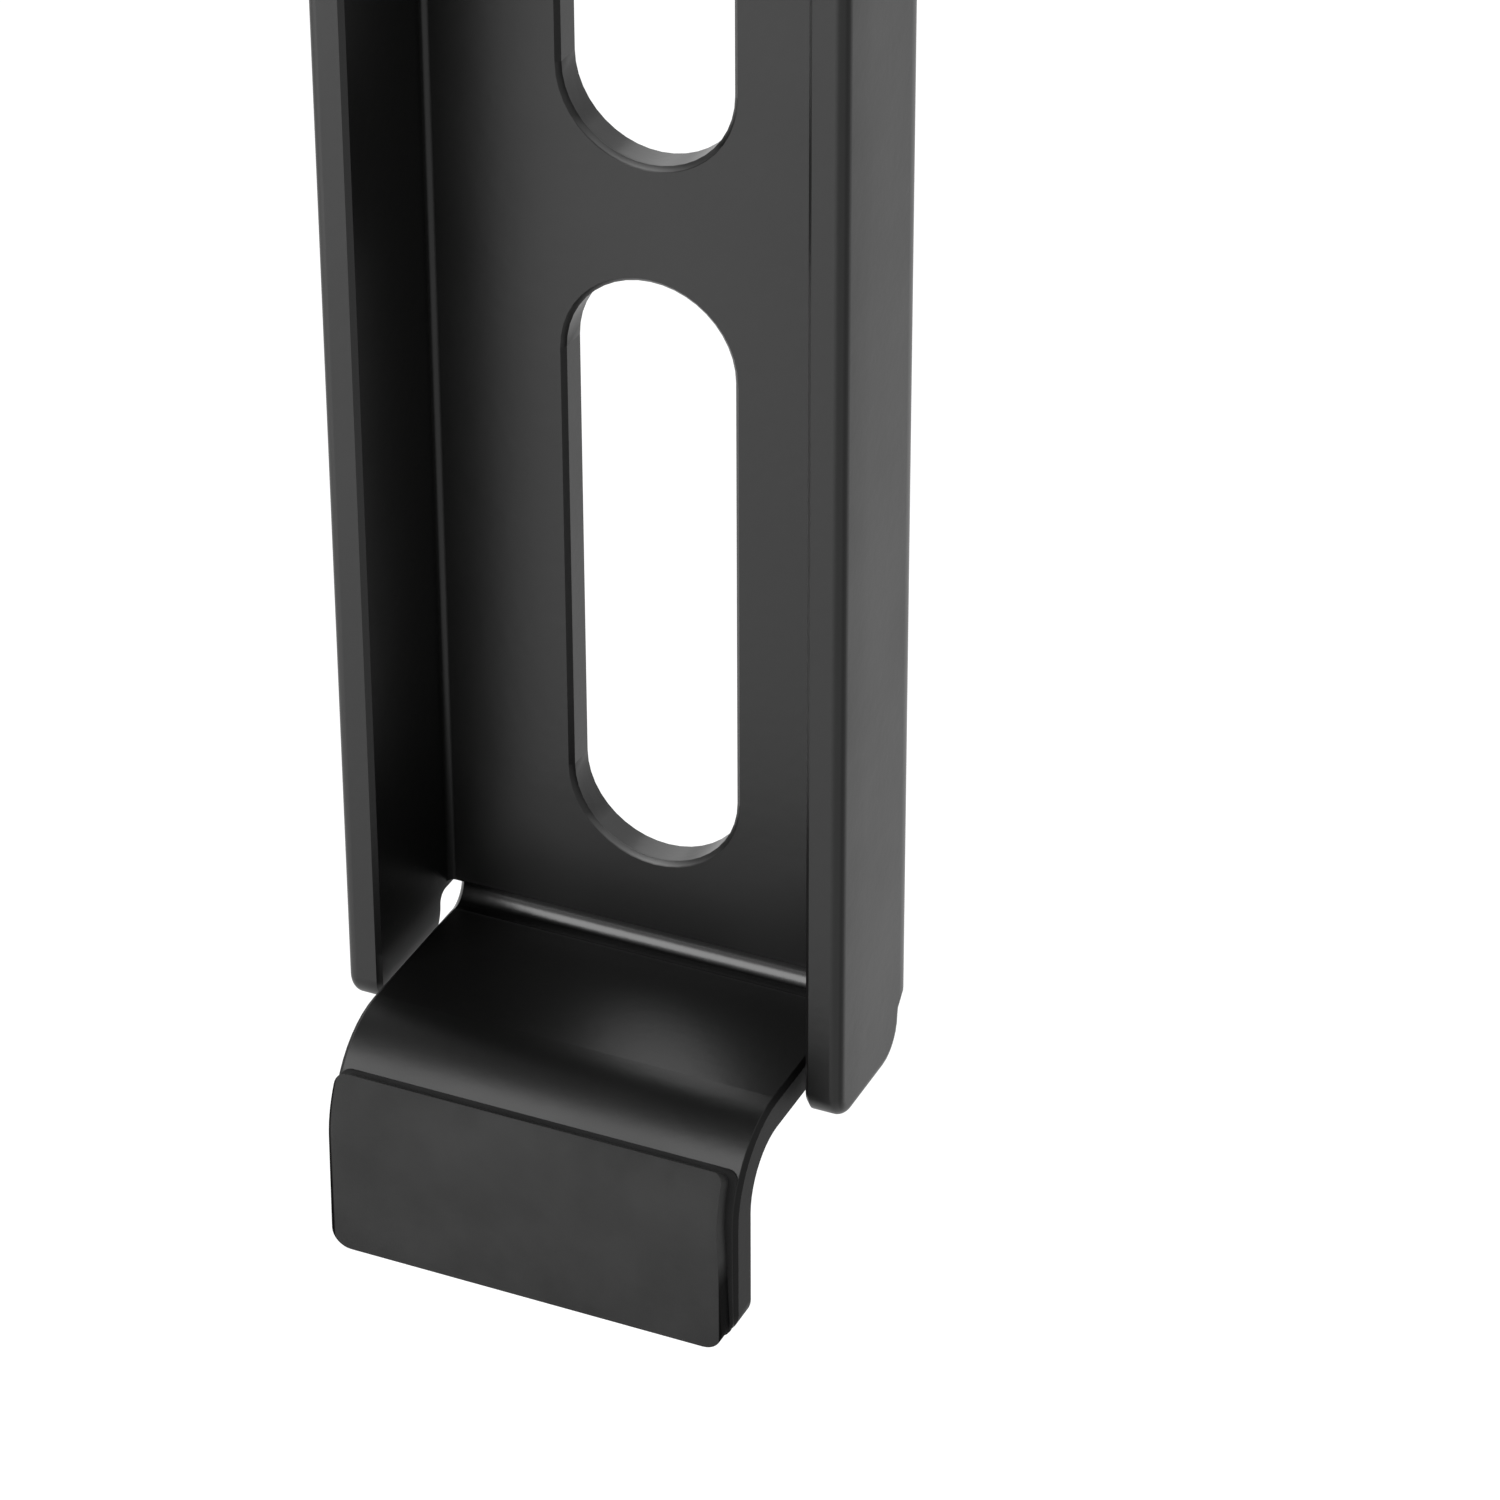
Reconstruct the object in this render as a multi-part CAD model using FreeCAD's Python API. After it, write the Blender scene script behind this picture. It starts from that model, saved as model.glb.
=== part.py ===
import FreeCAD, Part
import math
import os

# One arm of a fixed TV bracket: a folded steel channel with a row of screw slots,
# a hook at the top of each flange, and a folded foot with a glued rubber pad below.
# Millimetres and degrees. +Z is up and -Y points at the wall. The origin lies on the
# face that the TV is screwed to, midway between the lowest and the highest slot.

# Folded sheet
sheet = 2.0
arm_width = 28.0
channel_depth = 10.0
fold_inside = 0.4
edge_break = 0.25
edge_round = 0.6

# Screw slots
slot_width = 9.2
slot_length = 33.6
slot_pitch = 40.0
slot_count = 6
end_margin = 14.0

# Foot
ledge_drop = 5.3
wall_distance = 18.0
foot_height = 11.7
tongue_clearance = 0.2
ledge_inside = 1.0
lip_inside = 3.0
lip_corner = 1.3

# Lower ends of the flanges, and the notches that free the foot from them
flange_drop = 2.35
flange_rear_corner = 2.3
flange_front_corner = 1.6
notch_depth = 2.85
notch_rise = 0.4
notch_corner = 0.4
notch_lean = 28.0

# Hooks
hook_gap = 1.0
hook_leg = 4.0
rail_width = 5.0
rail_depth = 14.0
rail_corner = 1.0
hook_crown = 9.0
hook_corner = 4.0
lead_in = 6.0
hook_round = 1.6
lead_round = 2.0

# Pad
pad_thickness = 1.0
glue_thickness = 0.1
pad_inset = 0.3
pad_overhang = 0.15
pad_low_corner = 1.1
pad_high_corner = 0.5
pad_wrap = 34.0
pad_edge = 0.25

# How an edge is told to be a sharp outward one
sharp_turn = 60.0
probe = 0.05
tolerance = 0.001

# Heights, depths and widths that follow from them
slot_span = slot_pitch * (slot_count - 1)
lowest_slot = -slot_span / 2
highest_slot = slot_span / 2
arm_top = highest_slot + slot_length / 2 + end_margin
ledge_top = lowest_slot - slot_length / 2 - ledge_drop
lip_bottom = ledge_top - foot_height
flange_bottom = ledge_top - flange_drop
bend_start = ledge_top + ledge_inside
notch_top = ledge_top + notch_rise
lip_front = -(wall_distance - pad_thickness - glue_thickness)
hook_front = -(wall_distance - hook_gap)
tongue_width = arm_width - 2 * (sheet + fold_inside + tongue_clearance)
pad_width = tongue_width - 2 * pad_inset
cut_break = min(edge_break, sheet / 3)
outer_round = min(edge_round, sheet / 2 - cut_break)
pad_round = min(pad_edge, pad_thickness / 3)


# A point or a direction
def at(x, y, z):
    return FreeCAD.Vector(x, y, z)


# Start, middle and end of the arc that rounds one corner of an outline
def corner_arc(before, corner, after, radius):
    back = (before - corner).normalize()
    ahead = (after - corner).normalize()
    half = back.getAngle(ahead) / 2
    reach = radius / math.tan(half)
    inward = (back + ahead).normalize()
    middle = corner + inward * (radius / math.sin(half) - radius)
    return corner + back * reach, middle, corner + ahead * reach


# Closed face from corner points, each with its own radius
def rounded_face(corners):
    points = [point for point, radius in corners]
    count = len(points)
    edges = []
    arcs = []
    for i, (point, radius) in enumerate(corners):
        if radius > 0:
            arcs.append(corner_arc(points[i - 1], point, points[(i + 1) % count], radius))
        else:
            arcs.append((point, point, point))
    for i, (start, middle, end) in enumerate(arcs):
        if (end - start).Length > tolerance:
            edges.append(Part.Arc(start, middle, end).toShape())
        following = arcs[(i + 1) % count][0]
        if (following - end).Length > tolerance:
            edges.append(Part.LineSegment(end, following).toShape())
    return Part.Face(Part.Wire(edges))


# The long channel, with flanges as deep as the hooks need
def channel():
    half = arm_width / 2
    inside = half - sheet
    fold_outside = fold_inside + sheet
    section = rounded_face([
        (at(-half, hook_front, lip_bottom), 0),
        (at(-half, 0, lip_bottom), fold_outside),
        (at(half, 0, lip_bottom), fold_outside),
        (at(half, hook_front, lip_bottom), 0),
        (at(inside, hook_front, lip_bottom), 0),
        (at(inside, -sheet, lip_bottom), fold_inside),
        (at(-inside, -sheet, lip_bottom), fold_inside),
        (at(-inside, hook_front, lip_bottom), 0),
    ])
    return section.extrude(at(0, 0, arm_top - lip_bottom))


# What the flanges and the web keep of it, seen from the side
def side_outline():
    half = arm_width / 2
    leg_back = hook_front + hook_leg
    rail_back = leg_back + rail_width
    rail_top = arm_top - hook_crown
    mouth = rail_top - rail_depth
    leg_end = min(hook_round, hook_leg / 2 - cut_break)
    outline = rounded_face([
        (at(-half, -channel_depth, flange_bottom), flange_front_corner),
        (at(-half, -channel_depth, mouth - lead_in), lead_round),
        (at(-half, rail_back, mouth), lead_round),
        (at(-half, rail_back, rail_top), rail_corner),
        (at(-half, leg_back, rail_top), rail_corner),
        (at(-half, leg_back, mouth), leg_end),
        (at(-half, hook_front, mouth), leg_end),
        (at(-half, hook_front, arm_top), hook_corner),
        (at(-half, 0, arm_top), 0),
        (at(-half, 0, flange_bottom), 0),
    ])
    return outline.extrude(at(arm_width, 0, 0))


# Cutter for the notch beside one flange, which leans as the fold does where it was cut
def notch_cutter(side):
    inner = side * (arm_width / 2 - sheet)
    behind = sheet
    before = -2 * channel_depth
    below = lip_bottom
    across = 2 * sheet
    backwards = across * math.tan(math.radians(notch_lean))
    outline = rounded_face([
        (at(inner, behind, notch_top), 0),
        (at(inner, -notch_depth, notch_top), notch_corner),
        (at(inner, -notch_depth, flange_bottom), flange_rear_corner),
        (at(inner, before, flange_bottom), 0),
        (at(inner, before, below), 0),
        (at(inner, behind, below), 0),
    ])
    return outline.extrude(at(side * across, backwards, 0))


# The foot: down from the web, out along the ledge and down the lip, as one bent strip
def foot_strip():
    lip_back = lip_front + sheet
    ledge_under = ledge_top - sheet
    root = (bend_start + lowest_slot - slot_length / 2) / 2
    side = -tongue_width / 2
    strip = rounded_face([
        (at(side, 0, root), 0),
        (at(side, 0, ledge_under), ledge_inside + sheet),
        (at(side, lip_back, ledge_under), lip_inside),
        (at(side, lip_back, lip_bottom), 0),
        (at(side, lip_front, lip_bottom), 0),
        (at(side, lip_front, ledge_top), lip_inside + sheet),
        (at(side, -sheet, ledge_top), ledge_inside),
        (at(side, -sheet, root), 0),
    ])
    front_view = rounded_face([
        (at(side, lip_front, lip_bottom), lip_corner),
        (at(-side, lip_front, lip_bottom), lip_corner),
        (at(-side, lip_front, root), 0),
        (at(side, lip_front, root), 0),
    ])
    bent = strip.extrude(at(tongue_width, 0, 0))
    return bent.common(front_view.extrude(at(0, -lip_front, 0)))


# Cutters that pass through the web, one for each slot of the row
def slot_cutters():
    half = slot_width / 2
    cutters = []
    for i in range(slot_count):
        low = lowest_slot + i * slot_pitch - slot_length / 2
        high = low + slot_length
        outline = rounded_face([
            (at(-half, -2 * sheet, low), half),
            (at(half, -2 * sheet, low), half),
            (at(half, -2 * sheet, high), half),
            (at(-half, -2 * sheet, high), half),
        ])
        cutters.append(outline.extrude(at(0, 3 * sheet, 0)))
    return Part.Compound(cutters)


# Outward edges left by cutting the sheet
def cut_edges(solid):
    faces_of = {}
    for face in solid.Faces:
        for edge in face.Edges:
            faces_of.setdefault(edge.hashCode(), (edge, []))[1].append(face)
    picked = []
    for edge, faces in faces_of.values():
        if len(faces) != 2:
            continue
        middle = edge.valueAt((edge.FirstParameter + edge.LastParameter) / 2)
        first, second = [face.normalAt(*face.Surface.parameter(middle)) for face in faces]
        if first.getAngle(second) < math.radians(sharp_turn):
            continue
        if not solid.isInside(middle + (first - second) * probe, tolerance, True):
            picked.append(edge)
    return picked


# Whether the edge is on the outside of the channel, where the punch has rounded the sheet
def on_outside(edge):
    box = edge.BoundBox
    across = max(box.XMax, -box.XMin)
    return across > (arm_width - sheet) / 2 or box.YMin > -sheet / 2


# Whether the edge lies beside the bend, or on top of a notch and inside the fold, which stay square
def stays_square(edge):
    box = edge.BoundBox
    beside_bend = box.ZMin > ledge_top - tolerance and box.ZMax < bend_start + tolerance
    across = max(box.XMax, -box.XMin)
    on_fold = across > (arm_width - sheet) / 2
    return beside_bend and not on_fold and (box.ZLength < tolerance or box.YMin > -sheet / 2)


# Clears the web and the inside of the folds between the flanges, up to where the foot is bent
def between_flanges():
    inside = arm_width / 2 - sheet
    height = bend_start - lip_bottom
    return Part.makeBox(2 * inside, 2 * channel_depth, height, at(-inside, -channel_depth, lip_bottom))


# The folded sheet, with its outer edges rounded, its inner ones broken and the notches square
def bracket_arm():
    arm = channel().common(side_outline()).cut(between_flanges())
    arm = arm.cut(notch_cutter(-1)).cut(notch_cutter(1))
    arm = arm.fuse(foot_strip()).removeSplitter().Solids[0]
    outer_edges = [edge for edge in cut_edges(arm) if on_outside(edge) and not stays_square(edge)]
    arm = arm.makeFillet(outer_round, outer_edges)
    inner_edges = [edge for edge in cut_edges(arm) if not on_outside(edge) and not stays_square(edge)]
    arm = arm.makeChamfer(cut_break, inner_edges)
    arm = arm.cut(slot_cutters())
    slot_edges = [edge for edge in cut_edges(arm) if not stays_square(edge)]
    return arm.makeChamfer(cut_break, slot_edges)


# The pad follows the lip and the lower part of the bend above it
def foot_pad():
    inner = lip_front - glue_thickness
    outer = inner - pad_thickness
    bend = lip_inside + sheet
    centre_y = lip_front + bend
    centre_z = ledge_top - bend
    low = lip_bottom - pad_overhang
    side = pad_width / 2

    def on_bend(offset, degrees):
        turn = math.radians(degrees)
        radius = bend + offset
        return at(-side, centre_y - radius * math.cos(turn), centre_z + radius * math.sin(turn))

    near = glue_thickness
    far = glue_thickness + pad_thickness
    edges = [
        Part.LineSegment(at(-side, outer, low), at(-side, outer, centre_z)).toShape(),
        Part.Arc(on_bend(far, 0), on_bend(far, pad_wrap / 2), on_bend(far, pad_wrap)).toShape(),
        Part.LineSegment(on_bend(far, pad_wrap), on_bend(near, pad_wrap)).toShape(),
        Part.Arc(on_bend(near, pad_wrap), on_bend(near, pad_wrap / 2), on_bend(near, 0)).toShape(),
        Part.LineSegment(at(-side, inner, centre_z), at(-side, inner, low)).toShape(),
        Part.LineSegment(at(-side, inner, low), at(-side, outer, low)).toShape(),
    ]
    pad = Part.Face(Part.Wire(edges)).extrude(at(pad_width, 0, 0))
    top = on_bend(far, pad_wrap).z
    front_view = rounded_face([
        (at(-side, outer, low), pad_low_corner),
        (at(side, outer, low), pad_low_corner),
        (at(side, outer, top), pad_high_corner),
        (at(-side, outer, top), pad_high_corner),
    ])
    pad = pad.common(front_view.extrude(at(0, wall_distance, 0)))
    return pad.makeFillet(pad_round, cut_edges(pad))


os.makedirs("parts", exist_ok=True)
arm = bracket_arm()
arm.exportStep("parts/bracket_arm.step")
pad = foot_pad()
pad.exportStep("parts/foot_pad.step")
print("arm", arm.isValid(), len(arm.Solids), round(arm.Volume, 1), "mm3")
print("pad", pad.isValid(), len(pad.Solids), round(pad.Volume, 1), "mm3")
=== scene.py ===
import math

import bpy
from mathutils import Matrix, Vector


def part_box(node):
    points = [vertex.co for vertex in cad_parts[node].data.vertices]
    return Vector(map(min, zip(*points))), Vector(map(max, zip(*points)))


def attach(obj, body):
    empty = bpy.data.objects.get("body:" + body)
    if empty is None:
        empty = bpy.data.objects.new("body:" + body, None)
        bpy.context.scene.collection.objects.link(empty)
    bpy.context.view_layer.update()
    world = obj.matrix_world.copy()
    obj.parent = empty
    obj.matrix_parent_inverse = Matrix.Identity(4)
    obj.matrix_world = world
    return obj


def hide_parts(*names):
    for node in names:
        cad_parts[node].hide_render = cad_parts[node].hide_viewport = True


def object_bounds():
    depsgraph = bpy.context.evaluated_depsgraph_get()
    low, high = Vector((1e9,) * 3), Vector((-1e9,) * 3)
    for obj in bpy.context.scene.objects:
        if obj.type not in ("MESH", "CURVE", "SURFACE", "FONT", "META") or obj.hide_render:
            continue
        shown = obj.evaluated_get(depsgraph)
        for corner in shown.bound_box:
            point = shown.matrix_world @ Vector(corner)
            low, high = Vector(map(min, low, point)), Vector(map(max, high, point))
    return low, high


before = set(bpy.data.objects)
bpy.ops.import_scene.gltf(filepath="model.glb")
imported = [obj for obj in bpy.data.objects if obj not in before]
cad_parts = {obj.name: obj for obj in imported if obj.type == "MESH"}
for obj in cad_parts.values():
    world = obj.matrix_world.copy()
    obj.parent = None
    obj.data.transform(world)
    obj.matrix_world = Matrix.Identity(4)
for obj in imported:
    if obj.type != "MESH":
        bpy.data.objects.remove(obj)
cadLow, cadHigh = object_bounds()
mm = 0.001  # the frame is in metres
print("frame loaded:", ", ".join(sorted(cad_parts)))


def putInScene(item):
    bpy.context.scene.collection.objects.link(item)
    return item


def addNode(tree, kind, place, **values):
    node = tree.nodes.new(kind)
    node.location = place
    for socketName, value in values.items():
        node.inputs[socketName].default_value = value
    return node


def newMaterial(name):
    material = bpy.data.materials.new(name)
    material.use_nodes = True
    material.node_tree.nodes.clear()
    return material


# Camera: on the wall side of the arm, above and to the right of the foot
cameraView = {
    "place": (0.116661, -0.246334, 0.059723),  # metres
    "turn": 24.478,  # degrees, to the left of +Y
    "tip": 32.094,  # degrees, downwards
    "roll": -0.117,  # degrees
    "lens": 150.083,  # mm
    "sensor": 36.0,  # mm
    "nearest": 0.01,
    "farthest": 50.0,
}


def buildCamera():
    turn, tip, roll = [math.radians(cameraView[key]) for key in ("turn", "tip", "roll")]
    level = Vector((math.cos(turn), math.sin(turn), 0.0))
    forward = Vector((-math.sin(turn), math.cos(turn), 0.0))
    ahead = forward * math.cos(tip) - Vector((0.0, 0.0, math.sin(tip)))
    upright = level.cross(ahead)
    right = level * math.cos(roll) + upright * math.sin(roll)
    up = upright * math.cos(roll) - level * math.sin(roll)
    data = bpy.data.cameras.new("camera")
    data.lens = cameraView["lens"]
    data.sensor_width = cameraView["sensor"]
    data.clip_start = cameraView["nearest"]
    data.clip_end = cameraView["farthest"]
    camera = putInScene(bpy.data.objects.new("camera", data))
    facing = Matrix((right, up, -ahead)).transposed().to_4x4()
    camera.matrix_world = Matrix.Translation(cameraView["place"]) @ facing
    bpy.context.scene.camera = camera


buildCamera()
print("camera placed")


def grey(value):
    return (value, value, value, 1.0)


# What the noise of every finish has in common
noiseLook = {
    "grainRoughness": 0.55,
    "mottleDetail": 3.0,
    "mottleRoughness": 0.6,
    "mottleRange": (0.3, 0.7),  # the part of the mottle that the roughness follows
}


# One group gives every finish its grain and its slow cloudy variation
def buildFineGrain():
    group = bpy.data.node_groups.new("fineGrain", "ShaderNodeTree")
    for name in ("Grain Scale", "Grain Detail", "Mottle Scale"):
        group.interface.new_socket(name, in_out="INPUT", socket_type="NodeSocketFloat")
    for name in ("Grain", "Mottle"):
        group.interface.new_socket(name, in_out="OUTPUT", socket_type="NodeSocketFloat")
    start = addNode(group, "NodeGroupInput", (-700, 0))
    end = addNode(group, "NodeGroupOutput", (300, 0))
    place = addNode(group, "ShaderNodeTexCoord", (-700, 250))
    grain = addNode(group, "ShaderNodeTexNoise", (-350, 200), Roughness=noiseLook["grainRoughness"])
    mottle = addNode(group, "ShaderNodeTexNoise", (-350, -150), Detail=noiseLook["mottleDetail"],
                     Roughness=noiseLook["mottleRoughness"])
    group.links.new(place.outputs["Object"], grain.inputs["Vector"])
    group.links.new(place.outputs["Object"], mottle.inputs["Vector"])
    group.links.new(start.outputs["Grain Scale"], grain.inputs["Scale"])
    group.links.new(start.outputs["Grain Detail"], grain.inputs["Detail"])
    group.links.new(start.outputs["Mottle Scale"], mottle.inputs["Scale"])
    group.links.new(grain.outputs["Fac"], end.inputs["Grain"])
    group.links.new(mottle.outputs["Fac"], end.inputs["Mottle"])
    return group


fineGrain = buildFineGrain()


# A mask that is one inside a box, alike on the left and the right, and fades out around it.
# The box comes again at every pitch, twice the half pitch that is given
def buildBoxMask():
    group = bpy.data.node_groups.new("boxMask", "ShaderNodeTree")
    for name in ("Centre", "Half Size", "Fade", "Half Pitch"):
        group.interface.new_socket(name, in_out="INPUT", socket_type="NodeSocketVector")
    group.interface.new_socket("Mask", in_out="OUTPUT", socket_type="NodeSocketFloat")
    start = addNode(group, "NodeGroupInput", (-1200, -150))
    end = addNode(group, "NodeGroupOutput", (800, 0))
    place = addNode(group, "ShaderNodeTexCoord", (-1200, 150))
    apart = addNode(group, "ShaderNodeSeparateXYZ", (-1000, 150))
    aside = addNode(group, "ShaderNodeMath", (-800, 250))
    aside.operation = "ABSOLUTE"
    folded = addNode(group, "ShaderNodeCombineXYZ", (-600, 150))
    steps = []
    for i, operation in enumerate(("SUBTRACT", "WRAP", "ABSOLUTE", "SUBTRACT", "DIVIDE")):
        step = addNode(group, "ShaderNodeVectorMath", (-450 + 130 * i, 100))
        step.operation = operation
        steps.append(step)
    offset, wrapped, _, outside, share = steps
    turned = addNode(group, "ShaderNodeVectorMath", (-450, -200))
    turned.operation = "SCALE"
    turned.inputs["Scale"].default_value = -1.0
    shares = addNode(group, "ShaderNodeSeparateXYZ", (200, 100))
    wider = addNode(group, "ShaderNodeMath", (350, 150))
    wider.operation = "MAXIMUM"
    widest = addNode(group, "ShaderNodeMath", (500, 100))
    widest.operation = "MAXIMUM"
    fade = addNode(group, "ShaderNodeMapRange", (650, 0))
    fade.inputs["To Min"].default_value = 1.0
    fade.inputs["To Max"].default_value = 0.0
    group.links.new(place.outputs["Object"], apart.inputs["Vector"])
    group.links.new(apart.outputs["X"], aside.inputs[0])
    group.links.new(aside.outputs["Value"], folded.inputs["X"])
    group.links.new(apart.outputs["Y"], folded.inputs["Y"])
    group.links.new(apart.outputs["Z"], folded.inputs["Z"])
    group.links.new(folded.outputs["Vector"], offset.inputs[0])
    group.links.new(start.outputs["Centre"], offset.inputs[1])
    for step, following in zip(steps, steps[1:]):
        group.links.new(step.outputs["Vector"], following.inputs[0])
    group.links.new(start.outputs["Half Pitch"], turned.inputs["Vector"])
    group.links.new(start.outputs["Half Pitch"], wrapped.inputs[1])
    group.links.new(turned.outputs["Vector"], wrapped.inputs[2])
    group.links.new(start.outputs["Half Size"], outside.inputs[1])
    group.links.new(start.outputs["Fade"], share.inputs[1])
    group.links.new(share.outputs["Vector"], shares.inputs["Vector"])
    group.links.new(shares.outputs["X"], wider.inputs[0])
    group.links.new(shares.outputs["Y"], wider.inputs[1])
    group.links.new(wider.outputs["Value"], widest.inputs[0])
    group.links.new(shares.outputs["Z"], widest.inputs[1])
    group.links.new(widest.outputs["Value"], fade.inputs["Value"])
    group.links.new(fade.outputs["Result"], end.inputs["Mask"])
    return group


boxMask = buildBoxMask()
unrepeated = (1000.0, 1000.0, 1000.0)  # mm, half pitches so long that a zone comes only once
atEverySlot = (1000.0, 1000.0, 20.0)


# Blends settings of the shader towards those of a zone, whose box is in millimetres
def addZone(tree, shader, zone, height):
    mask = tree.nodes.new("ShaderNodeGroup")
    mask.node_tree = boxMask
    mask.location = (-350, height)
    for name in ("Centre", "Half Size", "Fade", "Half Pitch"):
        mask.inputs[name].default_value = Vector(zone.get(name, unrepeated)) * mm
    for name, value in zone["settings"].items():
        socket = shader.inputs[name]
        mix = tree.nodes.new("ShaderNodeMix")
        mix.data_type = "RGBA" if name == "Base Color" else "FLOAT"
        mix.location = (-150, height)
        if socket.is_linked:
            tree.links.new(socket.links[0].from_socket, mix.inputs["A"])
        else:
            mix.inputs["A"].default_value = socket.default_value
        mix.inputs["B"].default_value = value
        tree.links.new(mask.outputs["Mask"], mix.inputs["Factor"])
        tree.links.new(mix.outputs["Result"], socket)


# A dark finish: two near colours clouded together, a roughness range and a fine bump
def buildFinish(name, look):
    material = newMaterial(name)
    tree = material.node_tree
    texture = tree.nodes.new("ShaderNodeGroup")
    texture.node_tree = fineGrain
    texture.location = (-700, 0)
    texture.inputs["Grain Scale"].default_value = look["grainScale"]
    texture.inputs["Grain Detail"].default_value = look["grainDetail"]
    texture.inputs["Mottle Scale"].default_value = look["mottleScale"]
    colour = tree.nodes.new("ShaderNodeMix")
    colour.data_type = "RGBA"
    colour.location = (-350, 250)
    colour.inputs["A"].default_value = (*look["darkColour"], 1.0)
    colour.inputs["B"].default_value = (*look["lightColour"], 1.0)
    rough = addNode(tree, "ShaderNodeMapRange", (-350, 0))
    rough.inputs["From Min"].default_value = noiseLook["mottleRange"][0]
    rough.inputs["From Max"].default_value = noiseLook["mottleRange"][1]
    rough.inputs["To Min"].default_value = look["roughness"][0]
    rough.inputs["To Max"].default_value = look["roughness"][1]
    bump = addNode(tree, "ShaderNodeBump", (-350, -300), Strength=look["bumpStrength"],
                   Distance=look["bumpHeight"])
    shader = addNode(tree, "ShaderNodeBsdfPrincipled", (0, 0), IOR=look["ior"])
    output = addNode(tree, "ShaderNodeOutputMaterial", (300, 0))
    tree.links.new(texture.outputs["Mottle"], colour.inputs["Factor"])
    tree.links.new(texture.outputs["Mottle"], rough.inputs["Value"])
    tree.links.new(texture.outputs["Grain"], bump.inputs["Height"])
    tree.links.new(colour.outputs["Result"], shader.inputs["Base Color"])
    tree.links.new(rough.outputs["Result"], shader.inputs["Roughness"])
    tree.links.new(bump.outputs["Normal"], shader.inputs["Normal"])
    for i, zone in enumerate(look["zones"]):
        addZone(tree, shader, zone, -600 - 250 * i)
    tree.links.new(shader.outputs["BSDF"], output.inputs["Surface"])
    return material


# Satin black powder coat, with a faint orange peel
powderCoatLook = {
    "darkColour": (0.004, 0.0041, 0.004),
    "lightColour": (0.0065, 0.0066, 0.0064),
    "roughness": (0.33, 0.38),
    "ior": 1.42,
    "grainScale": 1400.0,
    "grainDetail": 2.0,
    "mottleScale": 120.0,
    "bumpStrength": 0.25,
    "bumpHeight": 0.00003,  # metres
    # where the metal share is one, the base colour says how strongly the coat shines; most of these
    # zones raise or lower it to paint highlights, reflections and shade
    "zones": (
        # the sides of the foot, where the sheet was cut, are rougher
        {"Centre": (11.4, -9.6, -127.5), "Half Size": (0.2, 7.5, 6.5), "Fade": (0.05, 0.05, 0.05),
         "settings": {"Roughness": 0.6, "Metallic": 1.0, "Base Color": grey(0.021)}},
        # painted reflection: the web reflects more strongly towards the bend, standing in for the
        # reflection of the ledge
        {"Centre": (1.0, -1.8, -119.6), "Half Size": (2.5, 0.5, 1.5), "Fade": (7.0, 0.2, 5.0),
         "settings": {"Roughness": 0.42, "Metallic": 1.0, "Base Color": grey(0.048)}},
        # painted highlight: the lower end of every slot is smoother and reflects more strongly
        {"Centre": (0.0, -0.95, -116.2), "Half Size": (3.4, 0.7, 0.7), "Fade": (1.2, 0.12, 0.7),
         "Half Pitch": atEverySlot,
         "settings": {"Roughness": 0.3, "Metallic": 1.0, "Base Color": grey(0.063)}},
        # and a brighter painted highlight on its broken edge at the front
        {"Centre": (1.2, -1.84, -116.5), "Half Size": (1.6, 0.1, 0.8), "Fade": (1.6, 0.05, 0.8),
         "Half Pitch": atEverySlot,
         "settings": {"Roughness": 0.45, "Metallic": 1.0, "Base Color": grey(0.096)}},
        # in the bend above the foot the coat is smoother, and its stronger reflection there is a
        # painted highlight
        {"Centre": (0.0, -2.4, -121.7), "Half Size": (11.4, 0.6, 0.6), "Fade": (0.3, 0.3, 0.3),
         "settings": {"Roughness": 0.24, "Metallic": 1.0, "Base Color": grey(0.057)}},
        # painted reflection: the inside of each flange reflects more strongly beside the notch
        {"Centre": (12.0, -5.5, -123.6), "Half Size": (0.1, 3.0, 1.0), "Fade": (0.1, 1.5, 1.5),
         "settings": {"Roughness": 0.5, "Metallic": 1.0, "Base Color": grey(0.14)}},
        # painted shade: the outside of each flange reflects less along its free edge
        {"Centre": (14.0, -10.0, 0.0), "Half Size": (0.1, 0.6, 140.0), "Fade": (0.1, 2.5, 1.0),
         "settings": {"Metallic": 1.0, "Base Color": grey(0.026)}},
    ),
}
powderCoat = buildFinish("powderCoat", powderCoatLook)

# The arm keeps its CAD mesh, and its broken edges become small rounds under the paint
armEdges = {
    "weldDistance": 0.001,  # mm
    "flatAngle": 1.0,  # degrees
    "roundWidth": 0.12,  # mm
    "roundSteps": 2,
    "roundAngle": 30.0,  # degrees
    "flatFaceWeight": 100,
}


def dressArm():
    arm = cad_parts["bracket_arm"]
    arm.data.materials.clear()
    arm.data.materials.append(powderCoat)
    weld = arm.modifiers.new("weld", "WELD")
    weld.merge_threshold = armEdges["weldDistance"] * mm
    flatten = arm.modifiers.new("wholeFaces", "DECIMATE")
    flatten.decimate_type = "DISSOLVE"
    flatten.angle_limit = math.radians(armEdges["flatAngle"])
    rounding = arm.modifiers.new("roundEdges", "BEVEL")
    rounding.width = armEdges["roundWidth"] * mm
    rounding.segments = armEdges["roundSteps"]
    rounding.limit_method = "ANGLE"
    rounding.angle_limit = math.radians(armEdges["roundAngle"])
    soften = arm.modifiers.new("softEdges", "WEIGHTED_NORMAL")
    soften.weight = armEdges["flatFaceWeight"]
    soften.keep_sharp = True


dressArm()
print("arm dressed")

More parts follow.
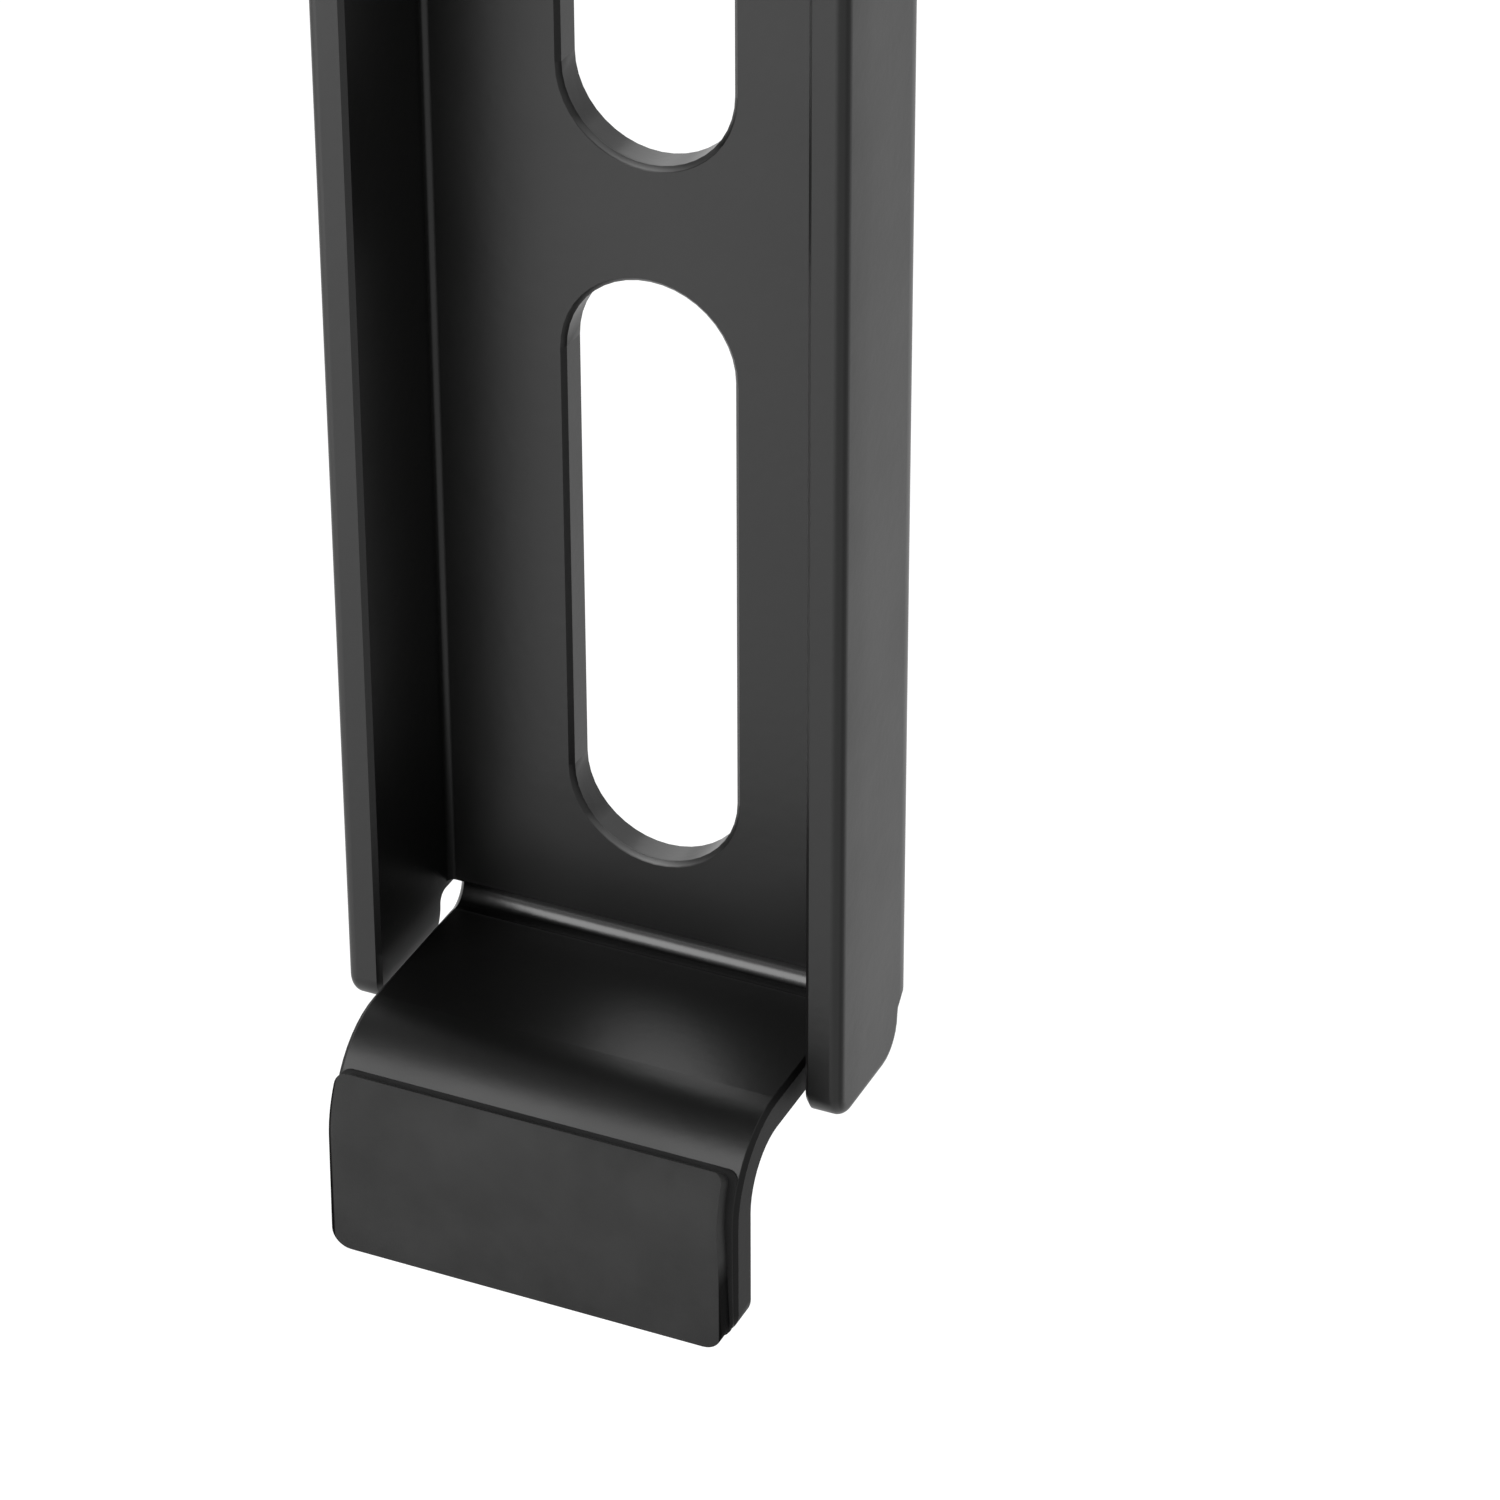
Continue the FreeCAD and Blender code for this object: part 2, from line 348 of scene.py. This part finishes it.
# Pad and tape follow the steel of the foot, from the lip's lower edge up and over its bend.
# Their sizes are in millimetres
foot = {
    "padThickness": 1.0,
    "tapeThickness": 0.1,
    "lipStraight": 6.7,
    "bendRadius": 5.0,
    "padWrap": 34.0,  # degrees round the bend
    "padOverhang": 0.15,
    "rimAngle": 50.0,  # degrees, edges sharper than this are rounded
}
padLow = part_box("foot_pad")[0]
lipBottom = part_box("bracket_arm")[0].z / mm
lipFront = padLow.y / mm + foot["padThickness"] + foot["tapeThickness"]


# A point on or above the steel: along runs up the lip and round the bend,
# and lift stands off the steel
def onFoot(across, along, lift):
    if along <= foot["lipStraight"]:
        return Vector((across, lipFront - lift, lipBottom + along)) * mm
    turn = (along - foot["lipStraight"]) / foot["bendRadius"]
    radius = foot["bendRadius"] + lift
    back = lipFront + foot["bendRadius"] - radius * math.cos(turn)
    return Vector((across, back, lipBottom + foot["lipStraight"] + radius * math.sin(turn))) * mm


# A thin layer with rounded corners, laid on the steel
def layOnFoot(name, shape):
    top = foot["lipStraight"] + foot["bendRadius"] * math.radians(foot["padWrap"]) - shape["inset"]
    bottom = max(shape["inset"], 0.0) - foot["padOverhang"]
    left, right = shape["left"], shape["right"]
    cornerSteps = shape["cornerSteps"]
    turns = [math.pi / 2 * step / cornerSteps for step in range(cornerSteps + 1)]
    ends = [(1 - math.cos(turn), 1 - math.sin(turn)) for turn in turns]
    low, high = shape["lowCorner"], shape["highCorner"]
    middleRows = shape["middleRows"]
    stretch = top - bottom - low - high
    middle = [(bottom + low + stretch * step / middleRows, 0.0) for step in range(1, middleRows)]
    rows = [(bottom + low * rise, low * pull) for rise, pull in ends] + middle
    rows += [(top - high * rise, high * pull) for rise, pull in reversed(ends)]
    columns = shape["columns"]
    corners = []
    for along, pull in rows:
        rise = (along - bottom) / (top - bottom)
        start = left[0] + (left[1] - left[0]) * rise + pull
        end = right[0] + (right[1] - right[0]) * rise - pull
        for step in range(columns + 1):
            across = start + (end - start) * step / columns
            corners.append(onFoot(across, along, shape["lift"]))
    faces = []
    for row in range(len(rows) - 1):
        for column in range(columns):
            first = row * (columns + 1) + column
            above = first + columns + 1
            faces.append((first, first + 1, above + 1, above))
    mesh = bpy.data.meshes.new(name)
    mesh.from_pydata(corners, [], faces)
    mesh.polygons.foreach_set("use_smooth", [True] * len(faces))
    piece = putInScene(bpy.data.objects.new(name, mesh))
    body = piece.modifiers.new("thickness", "SOLIDIFY")
    body.thickness = shape["thickness"] * mm
    body.offset = 1.0
    rim = piece.modifiers.new("rim", "BEVEL")
    rim.width = shape["rim"] * mm
    rim.segments = shape["rimSteps"]
    rim.limit_method = "ANGLE"
    rim.angle_limit = math.radians(foot["rimAngle"])
    return piece


padRubberLook = {
    "darkColour": (0.012, 0.0121, 0.0119),
    "lightColour": (0.018, 0.0181, 0.0178),
    "roughness": (0.66, 0.78),
    "ior": 1.45,
    "grainScale": 5200.0,
    "grainDetail": 3.0,
    "mottleScale": 260.0,
    "bumpStrength": 0.45,
    "bumpHeight": 0.00002,
    "zones": (
        # the cut sides of the pad are rougher, and darker as painted shade
        {"Centre": (11.2, -15.0, -128.0), "Half Size": (0.25, 5.0, 8.0),
         "Fade": (0.06, 0.06, 0.06),
         "settings": {"Roughness": 0.95, "Metallic": 1.0, "Base Color": grey(0.019)}},
        # painted shade: its face is a little darker towards the lower edge
        {"Centre": (0.0, -18.0, -135.0), "Half Size": (12.0, 2.0, 1.0), "Fade": (1.0, 1.0, 9.0),
         "settings": {"Base Color": grey(0.005)}},
    ),
}
padShape = {
    "lift": foot["tapeThickness"],
    "thickness": foot["padThickness"],
    "left": (-11.1, -11.0),  # at the lower and the upper edge
    "right": (11.1, 10.72),
    "inset": 0.0,
    "lowCorner": 1.1,
    "highCorner": 0.5,
    "cornerSteps": 8,
    "middleRows": 24,
    "columns": 40,
    "rim": 0.25,
    "rimSteps": 4,
}


def buildPad():
    pad = layOnFoot("footPadRubber", padShape)
    pad.data.materials.append(buildFinish("padRubber", padRubberLook))
    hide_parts("foot_pad")
    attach(pad, "root")


buildPad()

# A thin dark adhesive tape under the pad, drawn wider than the pad so that its dark rim is a
# painted shadow along the pad's edges
tapeAndShadowLook = {
    "darkColour": (0.008, 0.008, 0.008),
    "lightColour": (0.012, 0.012, 0.012),
    "roughness": (0.6, 0.7),
    "ior": 1.3,
    "grainScale": 3000.0,
    "grainDetail": 2.0,
    "mottleScale": 300.0,
    "bumpStrength": 0.2,
    "bumpHeight": 0.00001,
    "zones": (),
}
tapeAndShadowShape = {
    "lift": 0.0,
    "thickness": foot["tapeThickness"],
    "left": (-11.2, -11.2),
    "right": (11.25, 11.15),
    # a negative inset lets the tape reach past the pad's top edge, where it paints the shadow line
    # above the pad
    "inset": -0.26,
    "lowCorner": 1.2,
    "highCorner": 0.6,
    "cornerSteps": 6,
    "middleRows": 24,
    "columns": 12,
    "rim": 0.02,
    "rimSteps": 1,
}


def buildTapeAndShadow():
    tape = layOnFoot("padTapeAndShadow", tapeAndShadowShape)
    tape.data.materials.append(buildFinish("padTapeAndShadow", tapeAndShadowLook))
    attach(tape, "root")


buildTapeAndShadow()
print("pad and tape laid on the foot")

# Plain white studio, whose ceiling looks darker where it is mirrored
studio = {
    "ambient": 0.45,
    "white": 1.0,
    "ceiling": 0.1,
    "ceilingEdge": (0.84, 0.92),  # the rise of a ray where the ceiling begins and where it is full
    "floorSize": 8.0,  # metres
    "floorDrop": 0.45,  # metres below the arm, which hangs clear of the floor
    "floorColour": 0.82,
    "floorGlow": 0.82,
    "whiteLift": 0.12,  # what the camera sees above that
    "floorShade": 0.25,  # how strongly the seen floor takes the shadow
}


# Which rays look at the background, straight or mirrored, and which are the camera's own
def addSeenRays(tree, place):
    rays = addNode(tree, "ShaderNodeLightPath", place)
    first = addNode(tree, "ShaderNodeMath", (place[0] + 200, place[1]))
    first.operation = "MAXIMUM"
    second = addNode(tree, "ShaderNodeMath", (place[0] + 400, place[1]))
    second.operation = "MAXIMUM"
    tree.links.new(rays.outputs["Is Camera Ray"], first.inputs[0])
    tree.links.new(rays.outputs["Is Glossy Ray"], first.inputs[1])
    tree.links.new(first.outputs["Value"], second.inputs[0])
    tree.links.new(rays.outputs["Is Transmission Ray"], second.inputs[1])
    return second.outputs["Value"], rays.outputs["Is Camera Ray"]


def buildWorld():
    world = bpy.data.worlds.new("studioWorld")
    bpy.context.scene.world = world
    world.use_nodes = True
    tree = world.node_tree
    tree.nodes.clear()
    seen, direct = addSeenRays(tree, (-800, 200))
    light = addNode(tree, "ShaderNodeBackground", (0, 100), Strength=studio["ambient"])
    light.inputs["Color"].default_value = grey(1.0)
    facing = addNode(tree, "ShaderNodeTexCoord", (-800, -150))
    apart = addNode(tree, "ShaderNodeSeparateXYZ", (-600, -150))
    overhead = addNode(tree, "ShaderNodeMapRange", (-400, -150))
    overhead.inputs["From Min"].default_value = studio["ceilingEdge"][0]
    overhead.inputs["From Max"].default_value = studio["ceilingEdge"][1]
    overhead.inputs["To Min"].default_value = studio["white"]
    overhead.inputs["To Max"].default_value = studio["ceiling"]
    white = addNode(tree, "ShaderNodeMath", (-200, -150))
    white.operation = "MAXIMUM"
    tree.links.new(facing.outputs["Generated"], apart.inputs["Vector"])
    tree.links.new(apart.outputs["Z"], overhead.inputs["Value"])
    tree.links.new(overhead.outputs["Result"], white.inputs[0])
    tree.links.new(direct, white.inputs[1])
    shown = addNode(tree, "ShaderNodeBackground", (0, -100))
    shown.inputs["Color"].default_value = grey(1.0)
    tree.links.new(white.outputs["Value"], shown.inputs["Strength"])
    mix = addNode(tree, "ShaderNodeMixShader", (250, 0))
    output = addNode(tree, "ShaderNodeOutputWorld", (450, 0))
    tree.links.new(seen, mix.inputs["Fac"])
    tree.links.new(light.outputs["Background"], mix.inputs[1])
    tree.links.new(shown.outputs["Background"], mix.inputs[2])
    tree.links.new(mix.outputs["Shader"], output.inputs["Surface"])


def buildFloor():
    material = newMaterial("studioFloor")
    tree = material.node_tree
    seen, direct = addSeenRays(tree, (-800, 200))
    plain = addNode(tree, "ShaderNodeBsdfDiffuse", (0, 150))
    plain.inputs["Color"].default_value = grey(studio["floorColour"])
    level = addNode(tree, "ShaderNodeMapRange", (-400, -100))
    level.inputs["To Min"].default_value = studio["floorGlow"]
    level.inputs["To Max"].default_value = studio["floorGlow"] + studio["whiteLift"]
    tree.links.new(direct, level.inputs["Value"])
    glow = addNode(tree, "ShaderNodeEmission", (-200, -100))
    tree.links.new(level.outputs["Result"], glow.inputs["Strength"])
    faint = addNode(tree, "ShaderNodeBsdfDiffuse", (-200, -250))
    faint.inputs["Color"].default_value = grey(studio["floorShade"])
    bright = addNode(tree, "ShaderNodeAddShader", (0, -150))
    mix = addNode(tree, "ShaderNodeMixShader", (250, 0))
    output = addNode(tree, "ShaderNodeOutputMaterial", (450, 0))
    tree.links.new(glow.outputs["Emission"], bright.inputs[0])
    tree.links.new(faint.outputs["BSDF"], bright.inputs[1])
    tree.links.new(seen, mix.inputs["Fac"])
    tree.links.new(plain.outputs["BSDF"], mix.inputs[1])
    tree.links.new(bright.outputs["Shader"], mix.inputs[2])
    tree.links.new(mix.outputs["Shader"], output.inputs["Surface"])
    half = studio["floorSize"] / 2
    low = cadLow.z - studio["floorDrop"]
    mesh = bpy.data.meshes.new("floor")
    corners = [(-half, -half, low), (half, -half, low), (half, half, low), (-half, half, low)]
    mesh.from_pydata(corners, [], [(0, 1, 2, 3)])
    mesh.materials.append(material)
    putInScene(bpy.data.objects.new("floor", mesh))


buildWorld()
buildFloor()

# Softboxes, each aimed at the lower end of the arm from its own side.
# Distances and sizes are in metres, powers in watts
softboxes = {
    "keyLight": {"toward": (-0.35, -0.75, 0.57), "distance": 0.9, "size": 0.55, "power": 3.65},
    "frontFill": {"toward": (-0.36, -0.82, -0.42), "distance": 1.0, "size": 0.8, "power": 3.2},
    "sideFill": {"toward": (-0.75, -0.60, -0.30), "distance": 1.0, "size": 0.6, "power": 1.7},
    "backFill": {"toward": (-0.35, 0.77, 0.53), "distance": 1.0, "size": 0.7, "power": 1.55},
}
lampAim = Vector((0.0, -0.005, -0.09))


def buildSoftboxes():
    for name, lamp in softboxes.items():
        data = bpy.data.lights.new(name, "AREA")
        data.shape = "SQUARE"
        data.size = lamp["size"]
        data.energy = lamp["power"]
        light = putInScene(bpy.data.objects.new(name, data))
        toward = Vector(lamp["toward"]).normalized()
        light.location = lampAim + toward * lamp["distance"]
        light.rotation_mode = "QUATERNION"
        light.rotation_quaternion = toward.to_track_quat("Z", "Y")
        light.visible_camera = False


buildSoftboxes()
bpy.context.scene.view_settings.view_transform = "Standard"
print("studio lit")
